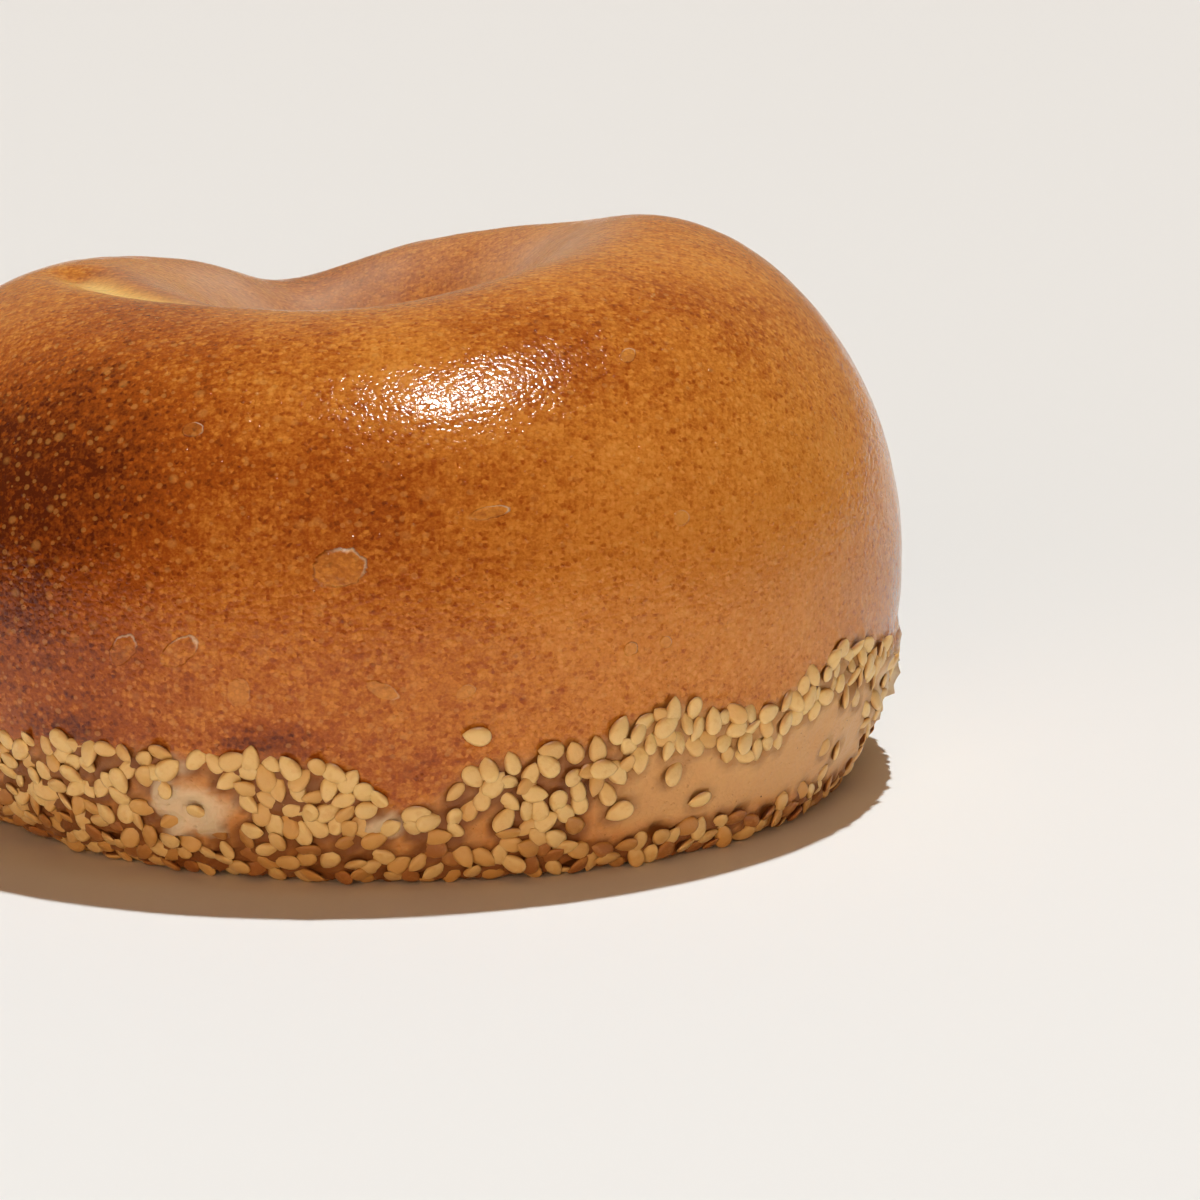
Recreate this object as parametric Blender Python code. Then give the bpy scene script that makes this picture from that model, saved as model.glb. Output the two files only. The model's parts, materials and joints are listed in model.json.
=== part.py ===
"""A sesame bagel for Blender 4.5: the bread as one closed body, and single sesame seeds along its lower edge.

The script's sizes are in millimetres and Blender's units are metres, with +Z up. The bagel stands on its flat
base at z = 0, centred on the origin. An azimuth turns about +Z from +X, in degrees, and the front faces -Y.
A station goes round the ring's section, in degrees: 0 at the widest, 90 at the crest, 180 in the hole.
"""

import math
import random

import bmesh
import bpy
from mathutils import Matrix, Vector

MM = 0.001
NAME = "bagel"

# The ring's section. Radii are measured from the ring's own axis, heights from its base.
OUTER_RADIUS = 58.6
CREST_RADIUS = 30.8
HOLE_RADIUS = 5.6
MOUTH_RADIUS = 15.0
BASE_RADIUS = 52.0
CREST_HEIGHT = 54.5
WIDEST_HEIGHT = 22.0
HOLE_HEIGHT = 24.0
SHOULDER_FULLNESS = 0.92  # the arc's exponent over an ellipse's: below 1 the shoulder bulges

# The stations where one stretch of the section ends and the next one starts.
CREST_STATION = 90.0
HOLE_STATION = 180.0
MOUTH_STATION = 230.0
BASE_STATION = 300.0
FULL_TURN = 360.0
QUARTER_TURN = 90.0

# Where the hand-shaped ring swells and dips: (azimuth, spread, amount) for each bump.
CREST_SWELLS = ((4, 48, 6.9), (61, 30, 1.8), (178, 44, 2.0), (-51, 30, 2.1), (113, 19, -3.4))
WIDEST_SWELLS = ((-5, 50, 2.3),)
FULLNESS_SWELLS = ((2, 50, 0.12),)
OUTER_SWELLS = ((-10, 40, 1.4), (150, 35, -0.6))
HOLE_SWELLS = ((40, 50, 1.6), (-150, 40, 0.9), (110, 30, -0.4))
BASE_SWELLS = ((-50, 40, 3.0), (0, 32, -2.0), (-155, 38, -7.0), (90, 40, 1.5))

RING_STEPS = 72
SECTION_STEPS = 36

# The sesame seeds. The belt is the stretch of the lower side that was pressed into seeds.
SEED_LENGTH = 3.1
SEED_WIDTH = 2.0
SEED_THICKNESS = 0.95
SEED_TAPER = 0.32
SEED_GAP = 0.3
SEED_SIDES = 8
SEED_RINGS = 6
SEED_SIZE_SPREAD = 0.08
BELT_SEEDS = 57
BELT_HEIGHT = 14.0
BELT_DEPTH = 4.0
BELT_SWELLS = ((-84, 6, -4.5), (-56, 7, 3.4), (-28, 12, 5.5), (60, 25, 2.0), (140, 30, -2.0))
STRAY_SEEDS = ((-77, 16.2, 170), (-15, 8.6, 20))
SCATTER_SEED = 7

CRUST_COLOUR = (0.33, 0.115, 0.028, 1)
SEED_COLOUR = (0.75, 0.53, 0.27, 1)


def swell(azimuth, bumps):
    """The sum of the bumps (azimuth, spread, amount) at this azimuth."""
    total = 0.0
    for centre, spread, amount in bumps:
        away = (azimuth - centre + 180) % 360 - 180
        total += amount * math.exp(-((away / spread) ** 2))
    return total


def section_point(azimuth, station):
    """The (radius, height) of the crust in millimetres, on elliptical arcs with a straight base."""
    outer = OUTER_RADIUS + swell(azimuth, OUTER_SWELLS)
    crest = CREST_HEIGHT + swell(azimuth, CREST_SWELLS)
    hole = HOLE_RADIUS + swell(azimuth, HOLE_SWELLS)
    base = BASE_RADIUS + swell(azimuth, BASE_SWELLS)
    widest = WIDEST_HEIGHT + swell(azimuth, WIDEST_SWELLS)
    fullness = SHOULDER_FULLNESS + swell(azimuth, FULLNESS_SWELLS)
    turn = math.radians(station)
    if station <= CREST_STATION:
        radius = CREST_RADIUS + (outer - CREST_RADIUS) * abs(math.cos(turn)) ** fullness
        height = widest + (crest - widest) * math.sin(turn) ** fullness
    elif station <= HOLE_STATION:
        radius = CREST_RADIUS + (CREST_RADIUS - hole) * math.cos(turn)
        height = HOLE_HEIGHT + (crest - HOLE_HEIGHT) * math.sin(turn)
    elif station <= MOUTH_STATION:
        share = (station - HOLE_STATION) / (MOUTH_STATION - HOLE_STATION)
        bend = math.radians(QUARTER_TURN * share)
        radius = hole + (MOUTH_RADIUS - hole) * (1 - math.cos(bend))
        height = HOLE_HEIGHT * (1 - math.sin(bend))
    elif station <= BASE_STATION:
        share = (station - MOUTH_STATION) / (BASE_STATION - MOUTH_STATION)
        radius = MOUTH_RADIUS + (base - MOUTH_RADIUS) * share
        height = 0.0
    else:
        share = (station - BASE_STATION) / (FULL_TURN - BASE_STATION)
        bend = math.radians(QUARTER_TURN * share)
        radius = base + (outer - base) * math.sin(bend)
        height = widest * (1 - math.cos(bend))
    return radius, height


def crust_point(azimuth, station):
    """The crust's point in metres."""
    radius, height = section_point(azimuth % FULL_TURN, station % FULL_TURN)
    turn = math.radians(azimuth)
    return Vector((radius * math.cos(turn), radius * math.sin(turn), height)) * MM


def crust_axes(azimuth, station):
    """Unit vectors at the crust: along the ring, up the section, and outwards."""
    step = 0.5
    along = crust_point(azimuth + step, station) - crust_point(azimuth - step, station)
    up = crust_point(azimuth, station + step) - crust_point(azimuth, station - step)
    along.normalize()
    up.normalize()
    out = along.cross(up).normalized()
    return along, out.cross(along), out


def belly_station(azimuth, height):
    """The station on the lower side, below the widest, where the crust has this height."""
    widest = WIDEST_HEIGHT + swell(azimuth, WIDEST_SWELLS)
    bend = math.degrees(math.acos(1 - height / widest))
    return BASE_STATION + (FULL_TURN - BASE_STATION) * bend / QUARTER_TURN


def material(name, colour, roughness):
    """A plain Principled material."""
    made = bpy.data.materials.new(name)
    made.use_nodes = True
    shader = made.node_tree.nodes["Principled BSDF"]
    shader.inputs["Base Color"].default_value = colour
    shader.inputs["Roughness"].default_value = roughness
    shader.inputs["Metallic"].default_value = 0.0
    made.diffuse_color = colour
    return made


def make_bread(collection, crust):
    """The bread: a torus whose every point is moved to its place on the crust."""
    bpy.ops.mesh.primitive_torus_add(
        major_segments=RING_STEPS,
        minor_segments=SECTION_STEPS,
        major_radius=CREST_RADIUS * MM,
        minor_radius=CREST_RADIUS * MM / 2,
    )
    bread = bpy.context.object
    bread.name = "bread"
    for vertex in bread.data.vertices:
        x, y, z = vertex.co
        azimuth = math.degrees(math.atan2(y, x))
        station = math.degrees(math.atan2(z, math.hypot(x, y) - CREST_RADIUS * MM)) % FULL_TURN
        vertex.co = crust_point(azimuth, round(station, 3))
    bread.data.shade_smooth()
    bread.data.materials.append(crust)
    for holder in list(bread.users_collection):
        holder.objects.unlink(bread)
    collection.objects.link(bread)
    return bread


def seed_mesh(skin):
    """One flat drop-shaped seed about its own centre: length along X with its tip at +X, thickness along Z."""
    form = bmesh.new()
    bmesh.ops.create_uvsphere(
        form,
        u_segments=SEED_SIDES,
        v_segments=SEED_RINGS,
        radius=1.0,
        matrix=Matrix.Rotation(math.pi / 2, 4, "Y"),
    )
    for vertex in form.verts:
        x, y, z = vertex.co
        narrowing = 1 - SEED_TAPER * x
        vertex.co = Vector((x * SEED_LENGTH, y * SEED_WIDTH * narrowing, z * SEED_THICKNESS * narrowing)) * MM / 2
    mesh = bpy.data.meshes.new("sesame_seed")
    form.to_mesh(mesh)
    form.free()
    mesh.shade_smooth()
    mesh.materials.append(skin)
    return mesh


def lay_seed(collection, mesh, number, azimuth, height, turn, size):
    """Lays one seed flat on the lower side of the bread, its tip turned from the ring's direction."""
    station = belly_station(azimuth, height)
    along, up, out = crust_axes(azimuth, station)
    tip = along * math.cos(math.radians(turn)) + up * math.sin(math.radians(turn))
    # The taper makes the blunt end thicker than the middle, and the gap is kept under that end too.
    lift = (SEED_THICKNESS * size * (1 + SEED_TAPER / 2) / 2 + SEED_GAP) * MM
    seed = bpy.data.objects.new(f"sesame_seed_{number:02d}", mesh)
    place = Matrix((tip, out.cross(tip), out)).transposed().to_4x4()
    place.translation = crust_point(azimuth, station) + out * lift
    seed.matrix_world = place @ Matrix.Scale(size, 4)
    collection.objects.link(seed)
    return seed


def make_seeds(collection, skin):
    """The belt's upper edge as one row of seeds, and the strays that sit apart from it."""
    chance = random.Random(SCATTER_SEED)
    mesh = seed_mesh(skin)
    spacing = FULL_TURN / BELT_SEEDS
    places = []
    for index in range(BELT_SEEDS):
        azimuth = index * spacing + chance.uniform(-0.15, 0.15) * spacing
        height = BELT_HEIGHT + swell(azimuth, BELT_SWELLS) - chance.uniform(0, BELT_DEPTH)
        places.append((azimuth, height, chance.uniform(0, FULL_TURN)))
    places += STRAY_SEEDS
    return [
        lay_seed(collection, mesh, number, *place, 1 + chance.uniform(-SEED_SIZE_SPREAD, SEED_SIZE_SPREAD))
        for number, place in enumerate(places, start=1)
    ]


def centre_on_origin(pieces):
    """Parents the pieces to an empty and moves it, so that the box round them is centred on the origin."""
    bpy.context.view_layer.update()
    corners = [piece.matrix_world @ vertex.co for piece in pieces for vertex in piece.data.vertices]
    holder = bpy.data.objects.new(f"{NAME}_place", None)
    pieces[0].users_collection[0].objects.link(holder)
    for piece in pieces:
        piece.parent = holder
    for axis in (0, 1):
        reach = [corner[axis] for corner in corners]
        holder.location[axis] = -(min(reach) + max(reach)) / 2


def main():
    """Clears the scene and models the bagel."""
    for old in list(bpy.data.objects):
        bpy.data.objects.remove(old)
    collection = bpy.data.collections.new(NAME)
    bpy.context.scene.collection.children.link(collection)
    bread = make_bread(collection, material("crust", CRUST_COLOUR, 0.35))
    seeds = make_seeds(collection, material("seed_skin", SEED_COLOUR, 0.5))
    centre_on_origin([bread, *seeds])


main()
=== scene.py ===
"""A sesame bagel in Blender 4.5: its glazed crust and its baked-on seeds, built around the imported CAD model.

Sizes in this script are in millimetres until a mesh is written, and Blender's units are metres, with +Z up.
An azimuth turns about +Z from +X, in degrees, and the front of the bagel faces -Y. A station goes round the
ring's section, in degrees: 0 at the widest, 90 at the crest, 180 in the hole, and 230 to 300 on the base.
"""

from __future__ import annotations

import json
import logging
import math
from dataclasses import dataclass, field
from enum import Enum
from typing import Any, Iterable, Sequence

import bpy
import numpy as np
from mathutils import Matrix, Vector

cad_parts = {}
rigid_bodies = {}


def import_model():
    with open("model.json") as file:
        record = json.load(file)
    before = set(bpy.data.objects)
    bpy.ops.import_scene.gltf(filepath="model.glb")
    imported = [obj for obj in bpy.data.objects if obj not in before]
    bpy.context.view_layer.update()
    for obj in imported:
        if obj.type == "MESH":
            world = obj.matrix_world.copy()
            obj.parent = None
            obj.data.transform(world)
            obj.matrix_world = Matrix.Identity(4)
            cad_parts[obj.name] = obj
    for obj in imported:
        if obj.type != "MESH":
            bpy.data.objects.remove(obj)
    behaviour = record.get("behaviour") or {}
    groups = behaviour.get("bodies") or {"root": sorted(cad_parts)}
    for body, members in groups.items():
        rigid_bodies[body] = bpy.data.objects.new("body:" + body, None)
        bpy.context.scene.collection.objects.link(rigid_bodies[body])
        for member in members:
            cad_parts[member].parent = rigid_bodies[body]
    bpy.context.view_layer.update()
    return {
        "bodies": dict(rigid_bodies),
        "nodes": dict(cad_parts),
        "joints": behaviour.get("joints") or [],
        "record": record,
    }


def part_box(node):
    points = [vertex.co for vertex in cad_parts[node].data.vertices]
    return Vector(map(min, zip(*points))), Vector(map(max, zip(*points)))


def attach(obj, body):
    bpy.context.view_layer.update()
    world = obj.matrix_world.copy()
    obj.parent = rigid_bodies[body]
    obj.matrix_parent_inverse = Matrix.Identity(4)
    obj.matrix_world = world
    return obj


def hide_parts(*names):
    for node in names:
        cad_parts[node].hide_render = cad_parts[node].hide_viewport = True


log = logging.getLogger("bagel")

MM = 0.001
FULL_TURN = 360.0
HALF_TURN = 180.0
QUARTER_TURN = 90.0
CRUST = "bread"
LOOSE_SEED = "sesame_seed"
BELT_PIECE = "seeds_belt_{:02d}"
BASE_PIECE = "seeds_base_{}"
MOST_SEEDS = 4000
FAR_AWAY = 1e6

Array = np.ndarray
Colour = tuple[float, float, float]


# ----------------------------------------------------------------------------------------------------
# Shader kit
# ----------------------------------------------------------------------------------------------------


@dataclass(frozen=True)
class Socket:
    """One output of a node. Arithmetic on it adds Math nodes to its recipe."""

    recipe: Recipe
    end: bpy.types.NodeSocket

    def beside(self, output: str) -> Socket:
        """Another output of the same node."""
        return Socket(self.recipe, self.end.node.outputs[output])

    def _math(self, operation: str, left: Value, right: Value) -> Socket:
        """Adds one Math node.

        Args:
            operation: the Math node's operation.
            left: its first value.
            right: its second value.

        Returns:
            The node's result.
        """
        return self.recipe.node("ShaderNodeMath", {"operation": operation}, {0: left, 1: right})

    def __add__(self, other: Value) -> Socket:
        """self + other."""
        return self._math("ADD", self, other)

    def __radd__(self, other: Value) -> Socket:
        """other + self."""
        return self._math("ADD", other, self)

    def __sub__(self, other: Value) -> Socket:
        """self - other."""
        return self._math("SUBTRACT", self, other)

    def __rsub__(self, other: Value) -> Socket:
        """other - self."""
        return self._math("SUBTRACT", other, self)

    def __mul__(self, other: Value) -> Socket:
        """self * other."""
        return self._math("MULTIPLY", self, other)

    def __rmul__(self, other: Value) -> Socket:
        """other * self."""
        return self._math("MULTIPLY", other, self)

    def __truediv__(self, other: Value) -> Socket:
        """self / other."""
        return self._math("DIVIDE", self, other)


Value = float | Sequence[float] | Socket


class Recipe:
    """The node tree of one material, built up from Python expressions."""

    def __init__(self, name: str) -> None:
        """Starts a material with a Principled shader.

        Args:
            name: the material's name.
        """
        self.material = bpy.data.materials.new(name)
        self.material.use_nodes = True
        self.tree = self.material.node_tree
        self.shader = self.tree.nodes["Principled BSDF"]

    def node(
        self,
        kind: str,
        settings: dict[str, Any] | None = None,
        sockets: dict[str | int, Value] | None = None,
        output: str | int = 0,
    ) -> Socket:
        """Adds any node.

        Args:
            kind: the node's type.
            settings: its properties, set first. "stops" fills a colour ramp with (position, colour) pairs.
            sockets: the values or links of its inputs, by name or place.
            output: the output that is wanted, by name or place.

        Returns:
            That output.
        """
        made = self.tree.nodes.new(kind)
        for key, value in (settings or {}).items():
            if key == "stops":
                self._fill_ramp(made.color_ramp, value)
            else:
                setattr(made, key, value)
        for key, value in (sockets or {}).items():
            self.feed(made.inputs[key], value)
        return Socket(self, made.outputs[output])

    def feed(self, entry: bpy.types.NodeSocket, value: Value) -> None:
        """Links or sets one input.

        Args:
            entry: the input.
            value: an output to link, or a plain value.
        """
        if isinstance(value, Socket):
            self.tree.links.new(value.end, entry)
        elif isinstance(value, (int, float)):
            entry.default_value = value
        else:
            size = len(entry.default_value)
            entry.default_value = (*value, 1.0)[:size]

    @staticmethod
    def _fill_ramp(ramp: bpy.types.ColorRamp, stops: Sequence[tuple[float, Colour]]) -> None:
        """Sets a colour ramp's stops.

        Args:
            ramp: a new ramp, which has two stops.
            stops: pairs of position and colour, from low to high.
        """
        for place, colour in stops[2:]:
            ramp.elements.new(place)
        for element, (place, colour) in zip(ramp.elements, stops):
            element.position = place
            element.color = (*colour, 1.0)

    def dress(self, **entries: Value) -> bpy.types.Material:
        """Feeds the Principled shader.

        Args:
            **entries: its inputs by name, with underscores for spaces.

        Returns:
            The finished material.
        """
        for name, value in entries.items():
            self.feed(self.shader.inputs[name.replace("_", " ")], value)
        return self.material

    def blend(self, share: Value, under: Value, over: Value) -> Socket:
        """Mixes two colours.

        Args:
            share: how much of the upper colour shows, 0 to 1.
            under: the lower colour.
            over: the upper colour.

        Returns:
            The mixed colour.
        """
        settings = {"data_type": "RGBA", "clamp_factor": True}
        return self.node("ShaderNodeMix", settings, {0: share, 6: under, 7: over}, 2)

    def step(self, value: Value, low: float, high: float) -> Socket:
        """A smooth step: 0 below low, 1 above high, and the other way round when low is above high.

        Args:
            value: what is tested.
            low: where the step starts.
            high: where it ends.

        Returns:
            The step, 0 to 1.
        """
        settings = {"interpolation_type": "SMOOTHSTEP"}
        ends = {"Value": value, "From Min": low, "From Max": high, "To Min": 0.0, "To Max": 1.0}
        return self.node("ShaderNodeMapRange", settings, ends)

    def place(self, flatten: float = 1.0) -> Socket:
        """The point on the piece in metres, its height stretched so that patterns lie flatter."""
        spot = self.node("ShaderNodeTexCoord", output="Object")
        return self.node("ShaderNodeVectorMath", {"operation": "MULTIPLY"}, {0: spot, 1: (1.0, 1.0, flatten)})

    def grain(self, size: float, detail: float = 2.0, roughness: float = 0.5) -> Socket:
        """Noise in three dimensions.

        Args:
            size: the width of its blobs in millimetres.
            detail: how many finer layers it has.
            roughness: how strong the finer layers are.

        Returns:
            The noise, 0 to 1, about 0.5 on average.
        """
        sockets = {
            "Vector": self.place(1.2),
            "Scale": 1 / (size * MM),
            "Detail": detail,
            "Roughness": roughness,
        }
        return self.node("ShaderNodeTexNoise", None, sockets)

    def bubbles(self, size: float, fullest: float, share: float) -> Socket:
        """Round domes, at most one in each cell of a loose honeycomb.

        Args:
            size: the width of a cell in millimetres.
            fullest: the radius of the largest domes, as a share of a cell.
            share: how many cells hold a dome, 0 to 1.

        Returns:
            The domes: 0 outside them, and rising to 1 in the middle.
        """
        sockets = {"Vector": self._stirred(size, 0.25), "Scale": 1 / (size * MM), "Randomness": 0.9}
        away = self.node("ShaderNodeTexVoronoi", {"feature": "F1"}, sockets, "Distance")
        luck = self.node("ShaderNodeSeparateColor", None, {"Color": away.beside("Color")})
        far = away / (fullest * (0.45 + 0.55 * luck))
        dome = self.node("ShaderNodeClamp", None, {"Value": 1 - far * far})
        return dome * self.step(luck.beside("Green"), share + 0.02, share - 0.02)

    def lumps(self, size: float) -> tuple[Socket, Socket]:
        """Lumps packed side by side, with creases between them.

        Args:
            size: the width of a lump in millimetres.

        Returns:
            The height, 1 in the middle of a lump, and a random number of each lump's own, 0 to 1.
        """
        sockets = {"Vector": self._stirred(size, 0.5), "Scale": 1 / (size * MM)}
        away = self.node("ShaderNodeTexVoronoi", {"feature": "F1"}, sockets, "Distance")
        luck = self.node("ShaderNodeSeparateColor", None, {"Color": away.beside("Color")})
        return self.step(away, 0.8, 0.25), luck

    def _stirred(self, size: float, share: float) -> Socket:
        """The point on the piece, pushed about by a share of a pattern's size to make its outlines uneven."""
        sockets = {"Vector": self.place(), "Scale": 1.3 / (size * MM)}
        swirl = self.node("ShaderNodeTexNoise", None, sockets, "Color")
        push = {0: swirl, 1: (share * size * MM,) * 3, 2: self.place(1.2)}
        return self.node("ShaderNodeVectorMath", {"operation": "MULTIPLY_ADD"}, push)

    def patch(self, centre: Array, directions: Array, reach: Sequence[float]) -> Socket:
        """The point on the piece, measured from the middle of an oval patch.

        Args:
            centre: the patch's middle in millimetres.
            directions: its long, short and outward directions, one row each.
            reach: its half length, half width and half depth in millimetres.

        Returns:
            Its own coordinates, which are 1 from the middle on its outline.
        """
        turn = Matrix(directions.tolist()).transposed().to_euler()
        sockets = {
            "Vector": self.place(),
            "Location": (centre * MM).tolist(),
            "Rotation": tuple(turn),
            "Scale": [size * MM for size in reach],
        }
        return self.node("ShaderNodeMapping", {"vector_type": "TEXTURE"}, sockets)

    def field(self, name: str) -> Socket:
        """A number stored on the mesh.

        Args:
            name: the attribute's name.

        Returns:
            Its value.
        """
        return self.node("ShaderNodeAttribute", {"attribute_name": name}, output="Fac")

    def relief(self, height: Value, rise: float, under: Socket | None = None) -> Socket:
        """A bump.

        Args:
            height: its pattern, 0 to 1.
            rise: how high the pattern stands, in millimetres.
            under: a coarser bump that this one lies on.

        Returns:
            The changed normal.
        """
        sockets: dict[str | int, Value] = {"Distance": rise * MM, "Height": height}
        if under is not None:
            sockets["Normal"] = under
        return self.node("ShaderNodeBump", None, sockets)


# ----------------------------------------------------------------------------------------------------
# The ring's shape
# ----------------------------------------------------------------------------------------------------


@dataclass(frozen=True)
class Swell:
    """A gentle rise, or a dip if negative, in one stretch of the ring."""

    azimuth: float
    spread: float
    amount: float


def turn_from(azimuth: Array, start: float) -> Array:
    """How far each azimuth is round from another, in degrees, -180 to 180."""
    return (azimuth - start + HALF_TURN) % FULL_TURN - HALF_TURN


def swelling(azimuth: Array, swells: Iterable[Swell]) -> Array:
    """Adds up swells.

    Args:
        azimuth: where, in degrees.
        swells: what is added.

    Returns:
        Their sum at each azimuth.
    """
    total = np.zeros_like(azimuth, dtype=float)
    for one in swells:
        away = turn_from(azimuth, one.azimuth)
        total += one.amount * np.exp(-((away / one.spread) ** 2))
    return total


@dataclass(frozen=True)
class Spot:
    """A soft oval patch on the outer side: where it is and how far it spreads, along the ring and upwards."""

    azimuth: float
    spread: float
    height: float
    tall: float
    amount: float = 1.0


def spotting(azimuth: Array, height: Array, spots: Iterable[Spot]) -> Array:
    """Adds up spots.

    Args:
        azimuth: of every point, in degrees.
        height: of every point, in millimetres.
        spots: what is added.

    Returns:
        Their sum at every point.
    """
    total = np.zeros_like(height, dtype=float)
    for one in spots:
        away = turn_from(azimuth, one.azimuth) / one.spread
        total += one.amount * np.exp(-(away**2) - ((height - one.height) / one.tall) ** 2)
    return total


def smooth(value: Array | float, low: float, high: float) -> Array:
    """A smooth step from 0 at low to 1 at high.

    Args:
        value: what is tested.
        low: where the step starts.
        high: where it ends.

    Returns:
        The step.
    """
    share = np.clip((value - low) / (high - low), 0, 1)
    return share * share * (3 - 2 * share)


@dataclass(frozen=True)
class Ring:
    """The hand-rolled ring of dough, by the same rules as its CAD solid."""

    outer: float = 58.6
    crest: float = 30.8
    hole: float = 5.6
    mouth: float = 15.0
    base: float = 52.0
    top: float = 54.5
    widest: float = 22.0
    waist: float = 24.0
    fullness: float = 0.92
    hole_station: float = 180.0
    mouth_station: float = 230.0
    base_station: float = 300.0
    top_swells: tuple[Swell, ...] = (
        Swell(4, 48, 6.9),
        Swell(61, 30, 1.8),
        Swell(178, 44, 2.0),
        Swell(-51, 30, 2.1),
        Swell(113, 19, -3.4),
    )
    widest_swells: tuple[Swell, ...] = (Swell(-5, 50, 2.3),)
    fullness_swells: tuple[Swell, ...] = (Swell(2, 50, 0.12),)
    outer_swells: tuple[Swell, ...] = (Swell(-10, 40, 1.4), Swell(150, 35, -0.6))
    hole_swells: tuple[Swell, ...] = (Swell(40, 50, 1.6), Swell(-150, 40, 0.9), Swell(110, 30, -0.4))
    base_swells: tuple[Swell, ...] = (
        Swell(-50, 40, 3.0),
        Swell(0, 32, -2.0),
        Swell(-155, 38, -7.0),
        Swell(90, 40, 1.5),
    )
    shift: tuple[float, float] = (0.0, 0.0)

    def point(self, azimuth: Array, station: Array) -> Array:
        """Places points on the smooth crust.

        Args:
            azimuth: in degrees.
            station: in degrees.

        Returns:
            The points in millimetres, one row each.
        """
        station = np.asarray(station, float) % FULL_TURN
        azimuth, station = np.broadcast_arrays(np.asarray(azimuth, float), station)
        outer = self.outer + swelling(azimuth, self.outer_swells)
        top = self.top + swelling(azimuth, self.top_swells)
        hole = self.hole + swelling(azimuth, self.hole_swells)
        base = self.base + swelling(azimuth, self.base_swells)
        widest = self.widest + swelling(azimuth, self.widest_swells)
        fullness = self.fullness + swelling(azimuth, self.fullness_swells)
        turn = np.radians(station)
        shaft = (station - self.hole_station) / (self.mouth_station - self.hole_station) * math.pi / 2
        flat = (station - self.mouth_station) / (self.base_station - self.mouth_station)
        belly = (station - self.base_station) / (FULL_TURN - self.base_station) * math.pi / 2
        stretches = [
            station <= QUARTER_TURN,
            station <= self.hole_station,
            station <= self.mouth_station,
            station <= self.base_station,
        ]
        radius = np.select(
            stretches,
            [
                self.crest + (outer - self.crest) * np.abs(np.cos(turn)) ** fullness,
                self.crest + (self.crest - hole) * np.cos(turn),
                hole + (self.mouth - hole) * (1 - np.cos(shaft)),
                self.mouth + (base - self.mouth) * flat,
            ],
            base + (outer - base) * np.sin(belly),
        )
        height = np.select(
            stretches,
            [
                widest + (top - widest) * np.abs(np.sin(turn)) ** fullness,
                self.waist + (top - self.waist) * np.sin(turn),
                self.waist * (1 - np.sin(shaft)),
                np.zeros_like(station),
            ],
            widest * (1 - np.cos(belly)),
        )
        around = np.radians(azimuth)
        x = radius * np.cos(around) + self.shift[0]
        y = radius * np.sin(around) + self.shift[1]
        return np.stack([x, y, height], axis=-1)

    def azimuth_of(self, x: float, y: float) -> float:
        """The azimuth of a place in millimetres, in degrees."""
        return math.degrees(math.atan2(y - self.shift[1], x - self.shift[0]))

    def axes(self, azimuth: Array, station: Array, reach: float = 0.5) -> tuple[Array, Array, Array]:
        """Finds the crust's own directions.

        Args:
            azimuth: in degrees.
            station: in degrees.
            reach: how far to each side the slope is taken, in degrees.

        Returns:
            Unit vectors along the ring, up the section, and outwards.
        """
        azimuth, station = np.asarray(azimuth, float), np.asarray(station, float)
        along = unit(self.point(azimuth + reach, station) - self.point(azimuth - reach, station))
        up = self.point(azimuth, station + reach) - self.point(azimuth, station - reach)
        out = unit(np.cross(along, up))
        return along, np.cross(out, along), out

    def station_at(self, azimuth: Array, height: Array) -> Array:
        """Finds the station on the outer side that has this height.

        Args:
            azimuth: in degrees.
            height: above the base, in millimetres.

        Returns:
            The stations, above or below the widest.
        """
        azimuth, height = np.broadcast_arrays(np.asarray(azimuth, float), np.asarray(height, float))
        top = self.top + swelling(azimuth, self.top_swells)
        widest = self.widest + swelling(azimuth, self.widest_swells)
        fullness = self.fullness + swelling(azimuth, self.fullness_swells)
        rise = np.clip((height - widest) / (top - widest), 0, 1) ** (1 / fullness)
        drop = np.degrees(np.arccos(np.clip(1 - height / widest, 0, 1)))
        low = self.base_station + (FULL_TURN - self.base_station) * drop / QUARTER_TURN
        return np.where(height >= widest, np.degrees(np.arcsin(rise)), low)


def unit(vectors: Array) -> Array:
    """Scales vectors to length 1."""
    return vectors / np.linalg.norm(vectors, axis=-1, keepdims=True)


def lattice(cells: Array, seed: int) -> Array:
    """Gives every whole-numbered point in space its own random number.

    Args:
        cells: whole-numbered points, one row each.
        seed: which set of numbers.

    Returns:
        The numbers, -1 to 1.
    """
    mixed = (cells * np.array([73856093, 19349663, 83492791])).sum(-1) + seed * 2654435761
    mixed = (mixed ^ (mixed >> 13)) * 1274126177
    return ((mixed ^ (mixed >> 16)) & 0xFFFF) / 0x7FFF - 1


def ripple(points: Array, size: float, seed: int, octaves: int = 2) -> Array:
    """Smooth noise over points.

    Args:
        points: in millimetres.
        size: the width of its blobs in millimetres.
        seed: which pattern.
        octaves: how many layers it has, each half as wide and half as strong as the one before.

    Returns:
        The noise, about -1 to 1.
    """
    total = np.zeros(len(points))
    for octave in range(octaves):
        spots = points * 2**octave / size + 19.7 * (octave + seed)
        cells = np.floor(spots).astype(np.int64)
        share = spots - cells
        share = share**3 * (share * (share * 6 - 15) + 10)
        for corner in np.ndindex(2, 2, 2):
            weight = np.prod(np.where(corner, share, 1 - share), axis=-1)
            total += weight * lattice(cells + np.array(corner), seed + octave) / 2**octave
    return total


# ----------------------------------------------------------------------------------------------------
# Seeds
# ----------------------------------------------------------------------------------------------------


class Zone(Enum):
    """Where seeds were picked up."""

    BELT = "belt"
    BASE = "base"


@dataclass
class Seed:
    """One sesame seed, lying flat on the crust or tilted over its neighbours."""

    centre: Array
    tip: Array
    out: Array
    size: float
    tone: float
    zone: Zone
    azimuth: float


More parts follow.
